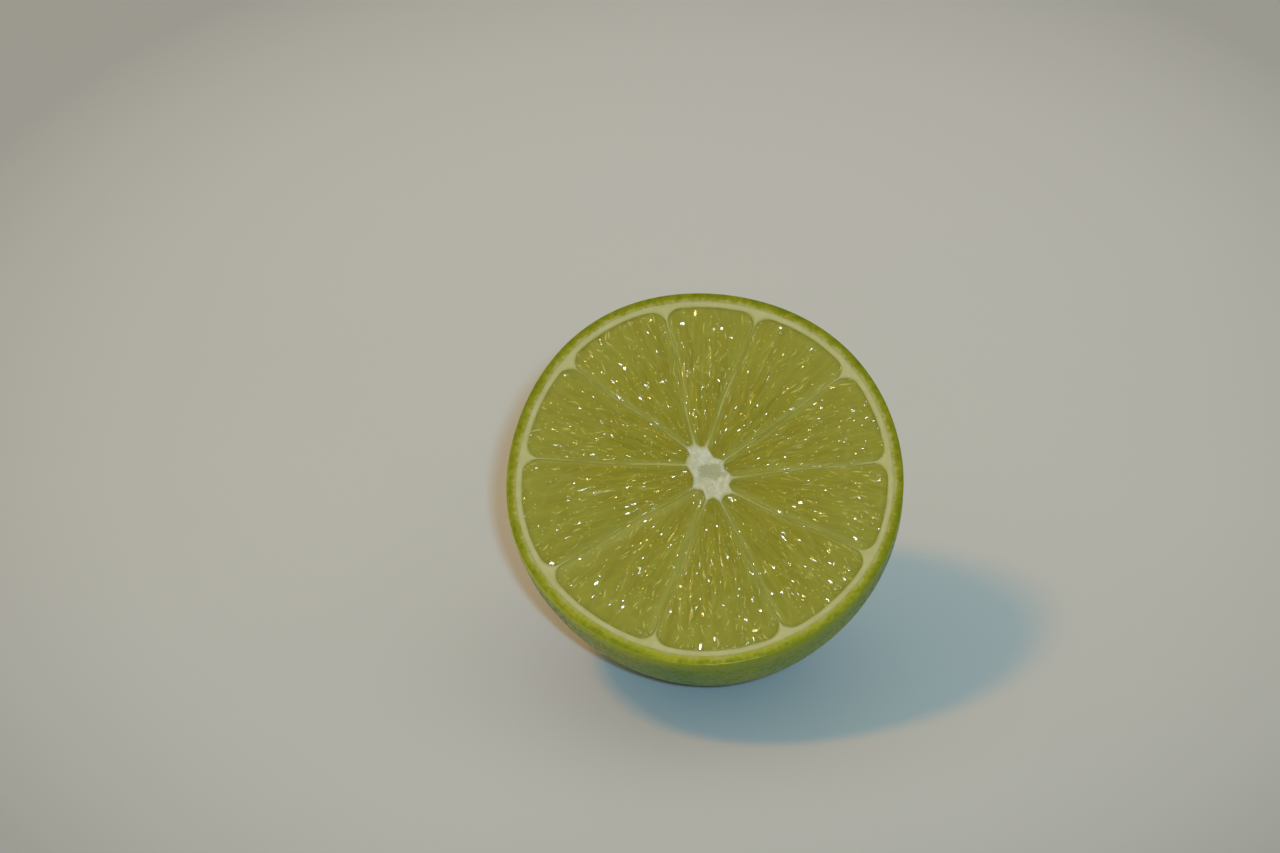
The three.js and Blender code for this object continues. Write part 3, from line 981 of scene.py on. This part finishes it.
def fan_glint_marks(tree, width, length, chance, reach, wander=0.0):
    """Scattered long marks of painted light that run with the juice sacs: 1 on one and 0 off it."""
    glint_cells = cells(tree, in_fan(tree, width, length, wander), voronoi_dimensions="2D")
    picked = spread(tree, parts(tree, glint_cells["Color"])[0], chance, min(chance + 0.15, 1.0))
    return times(tree, spread(tree, glint_cells["Distance"], 0.0, reach, 1.0, 0.0), picked)


def facet_lean(tree, width, length, chance, lean, bend):
    """How far the facets of one size lean aside and upwards: some lie flat, and each is a little round."""
    place = in_fan(tree, width, length)
    facets = cells(tree, place, voronoi_dimensions="2D")
    own = parts(tree, facets["Color"])
    from_middle = parts(tree, vector(tree, "SUBTRACT", place, facets["Position"]))
    torn = spread(tree, own[2], chance, chance + 0.1)
    leans = {}
    for axis in (0, 1):
        random = times(tree, sums(tree, "SUBTRACT", own[axis], 0.5), 2.0 * lean)
        leans[axis] = times(tree, sums(tree, "MULTIPLY_ADD", from_middle[axis], bend, random), torn)
    return result(tree, "ShaderNodeCombineXYZ", leans)


def facet_normal(tree, normal):
    """The wet film's normal: torn sac skins break it into facets, short and long, each with its own lean."""
    short, long = (facet_lean(tree, *kind) for kind in FACET_KINDS)
    outer = spread(tree, attribute(tree, "peelward"), 0.05, 0.5, 0.3, 1.0)
    lean = parts(tree, vector(tree, "ADD", short, scaled(tree, long, outer)))
    up = times(tree, lean[1], math.cos(FACE_TILT))
    high = times(tree, lean[1], math.sin(FACE_TILT))
    shift = result(tree, "ShaderNodeCombineXYZ", {0: lean[0], 1: up, 2: high})
    return vector(tree, "NORMALIZE", vector(tree, "ADD", normal, shift))


def pulp_material():
    """Wet yellow-green pulp: streaked along the sacs, with painted light: bright golden specks and strands
    where lamp light is caught in the sacs.
    """
    material, tree, shader, place = new_material("lime_pulp")
    peelward = attribute(tree, "peelward")
    broad = fan_streaks(tree, 0.8, 7.0)
    streak = sums(tree, "MULTIPLY_ADD", fan_streaks(tree, 0.25, 2.6), 0.35, times(tree, broad, 0.65))
    outer = spread(tree, peelward, 0.0, 0.5, 0.4, 1.0)
    streak = sums(tree, "MULTIPLY_ADD", sums(tree, "SUBTRACT", streak, 0.5), outer, 0.5)
    milk = sums(tree, "ADD", peelward, noise(tree, place, 0.005))
    # Painted light: golden specks and strands of lamp light caught in the sacs, laid into the pulp's colour
    painted_glint_threads = times(tree, fan_glint_marks(tree, 0.24, 2.0, 0.82, 0.42, 1.8), outer)
    painted_glint_flecks = fan_glint_marks(tree, 0.34, 0.42, 0.86, 0.40)
    colour = layered(tree, mixed(tree, spread(tree, streak, 0.3, 0.7), *PULP_COLOURS), (
        (times(tree, attribute(tree, "tone"), 0.22), PULP_TONE),
        (times(tree, spread(tree, peelward, 0.0, 0.3, 1.0, 0.0), 0.35), PULP_DEEP),
        (spread(tree, milk, 0.7, 1.6, 0.0, 0.4), PULP_MILKY),
        (times(tree, attribute(tree, "seam"), 0.22), SAC_SEAM),
        (times(tree, attribute(tree, "band"), 0.55), WALL_SHINE),
        (spread(tree, peelward, 0.965, 0.992, 0.0, 0.25), PULP_RIM),
        (times(tree, sums(tree, "MAXIMUM", painted_glint_threads, painted_glint_flecks), 0.75), PAINTED_CAUGHT_LIGHT),
    ))
    normal = bumped(tree, streak, 0.00005, 1.0)
    fill(tree, shader, {
        **WET,
        "Base Color": colour, "Normal": normal, "Coat Normal": facet_normal(tree, normal),
        "Roughness": 0.22, "Specular IOR Level": 0.2, "Subsurface Scale": 0.0016,
        "Coat IOR": 1.4, "Coat Roughness": 0.1,
    })
    return material


pulp_finish = pulp_material()
sacs = sac_tree(pulp_finish)
cut_tops = []
for segment in range(len(WALLS)):
    pulp_points, pulp_faces, pulp_marks = pulp_body(segment)
    name = f"segment_{segment + 1:02d}"
    pulp = new_piece(name, lay_down(pulp_points), pulp_faces, pulp_finish, **pulp_marks)
    grown = grow(pulp, sacs, SAC_SIZES)
    cut_tops.append(grown[TOP_NUMBERS])
    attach(pulp, "root")
    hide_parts("lime_half")


# Juice
# Drops of juice that the knife left standing on the cut pulp. Most are specks, and the largest have run
# down to the lower ends of the segments, where the pulp meets the peel.
BEAD_SEED = 7
BEAD_SIZES = {"Per area": 30000.0, "Smallest": 0.00018, "Largest": 0.00052, "Flatness": 0.42}
BEAD_SUNK = 0.45
BARE_EDGE = 3
JUICE_COLOURS = ((0.28, 0.25, 0.012), (0.34, 0.31, 0.03))


def juice_material():
    """Clear juice over pulp: the pulp's colour, a little brighter, under a smooth wet surface."""
    material, tree, shader, place = new_material("juice_beads")
    fill(tree, shader, {
        **WET,
        "Base Color": mixed(tree, noise(tree, place, 0.001), *JUICE_COLOURS),
        "Roughness": 0.12, "Subsurface Scale": 0.0003, "Coat Roughness": 0.05,
    })
    return material


def damp_surface():
    """The cut tops of the segments as points and faces, and how much juice stands at each point."""
    points = []
    faces = []
    damp = []
    for top in cut_tops:
        numbers = TOP_NUMBERS + sum(map(len, points))
        faces += quads(numbers[2 * BARE_EDGE : -BARE_EDGE, BARE_EDGE:-BARE_EDGE])
        along = np.linspace(0.0, 1.0, PULP_ALONG)[:, None]
        low_side = smooth(-top[..., 1], 0.006, 0.022)
        damp.append((0.6 + 8.0 * low_side * smooth(along, 0.9, 0.97)).ravel())
        points.append(top.reshape(-1, 3))
    return np.concatenate(points), faces, np.concatenate(damp)


def bead_tree(material):
    """Geometry tree: flattened beads scattered over the surface, many small and few large."""
    tree, start, end, _ = new_tree("juice_beads", BEAD_SIZES)
    density = times(tree, carried(tree, "damp"), start["Per area"])
    values = {"Mesh": start[0], "Density": density, "Seed": BEAD_SEED}
    scattered = add_node(tree, "GeometryNodeDistributePointsOnFaces", values).outputs
    chance = add_node(tree, "FunctionNodeRandomValue", {"Seed": BEAD_SEED}, data_type="FLOAT").outputs[1]
    largeness = times(tree, chance, times(tree, chance, chance))
    values = {0: largeness, 3: start["Smallest"], 4: start["Largest"]}
    size = result(tree, "ShaderNodeMapRange", values)
    values = {0: size, 1: size, 2: times(tree, size, start["Flatness"])}
    scale = result(tree, "ShaderNodeCombineXYZ", values)
    bead = result(tree, "GeometryNodeMeshUVSphere", {"Segments": 10, "Rings": 6, "Radius": 1.0})
    values = {"Geometry": bead, "Translation": (0.0, 0.0, -BEAD_SUNK)}
    bead = result(tree, "GeometryNodeTransform", values)
    rounded = result(tree, "GeometryNodeSetShadeSmooth", {0: bead})
    values = {
        "Points": scattered["Points"],
        "Instance": rounded,
        "Rotation": scattered["Rotation"],
        "Scale": scale,
    }
    placed = result(tree, "GeometryNodeInstanceOnPoints", values)
    return finish_tree(tree, placed, end, material)


juice_finish = juice_material()
damp_points, damp_faces, damp_mark = damp_surface()
beads = new_piece("juice_beads", damp_points, damp_faces, juice_finish, damp=damp_mark)
grow(beads, bead_tree(juice_finish), BEAD_SIZES)
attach(beads, "root")
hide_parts("lime_half")


# Stem scar
# The corky button that the stem left when the fruit was picked: a dry brown disc, cracked at its edge and
# pitted in the middle, sitting in the shallow well of the stem end.
SCAR_RADIUS = 1.75
SCAR_HEIGHT = 0.35
SCAR_DISH = 0.16
SCAR_FOOT = 0.5
SCAR_COLUMNS = 96
SCAR_ROWS = 28
SCAR_BROWNS = ((0.085, 0.048, 0.016), (0.185, 0.120, 0.045))
SCAR_CREST = (0.30, 0.22, 0.11)


def scar_body():
    """Points and faces of the scar, from its foot under the skin over its top to the middle."""
    angle = turns(SCAR_COLUMNS)
    waves = 0.07 * np.cos(3 * angle + 1.0) + 0.05 * np.cos(7 * angle) + 0.03 * np.cos(11 * angle)
    edge = SCAR_RADIUS * (1.0 + waves)
    bottom = HALF_DEPTH - WELL_DEPTH
    foot = -(bottom - SCAR_FOOT)
    rings = [np.array([[0.0, 0.0, foot]])]
    for share in (0.5, 0.9):
        rings.append(lifted(around(angle, edge * share), foot))
    for share in np.linspace(1.0, 0.0, SCAR_ROWS)[:-1]:
        radius = edge * share
        well = WELL_DEPTH * (1.0 - np.exp(-((radius / WELL_WIDTH) ** 2)))
        crown = SCAR_HEIGHT * (1.0 - smooth(share, 0.72, 1.0)) - SCAR_DISH * (1.0 - smooth(share, 0.1, 0.55))
        cracks = 0.05 * np.cos(13 * angle + 5.0 * share) * smooth(share, 0.3, 0.8)
        lumps = 0.035 * np.cos(5 * angle + 9.0 * share) * np.sin(7.0 * share + 2.0 * np.cos(3 * angle))
        rough = (cracks + lumps) * min(1.0, 4.0 * (1.0 - share)) * min(1.0, 3.0 * share)
        rings.append(lifted(around(angle, radius), -(bottom + well + crown + rough)))
    rings.append(np.array([[0.0, 0.0, -(bottom + SCAR_HEIGHT - SCAR_DISH)]]))
    return closed_rings(rings)


def scar_material():
    """Dry cork: brown, paler on its crests, rough and finely pitted."""
    material, tree, shader, place = new_material("stem_scar")
    grain = noise(tree, place, 0.0004, 4.0, 0.65)
    colour = mixed(tree, spread(tree, noise(tree, place, 0.0016), 0.3, 0.7), *SCAR_BROWNS)
    fill(tree, shader, {
        "Base Color": mixed(tree, spread(tree, grain, 0.5, 0.75, 0.0, 0.6), colour, SCAR_CREST),
        "Roughness": spread(tree, grain, 0.2, 0.8, 0.65, 0.85),
        "Normal": bumped(tree, grain, 0.00015, 0.8),
    })
    return material


scar_points, scar_faces = scar_body()
scar = new_piece("stem_scar", lay_down(scar_points), scar_faces, scar_material())
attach(scar, "root")
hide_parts("lime_half")
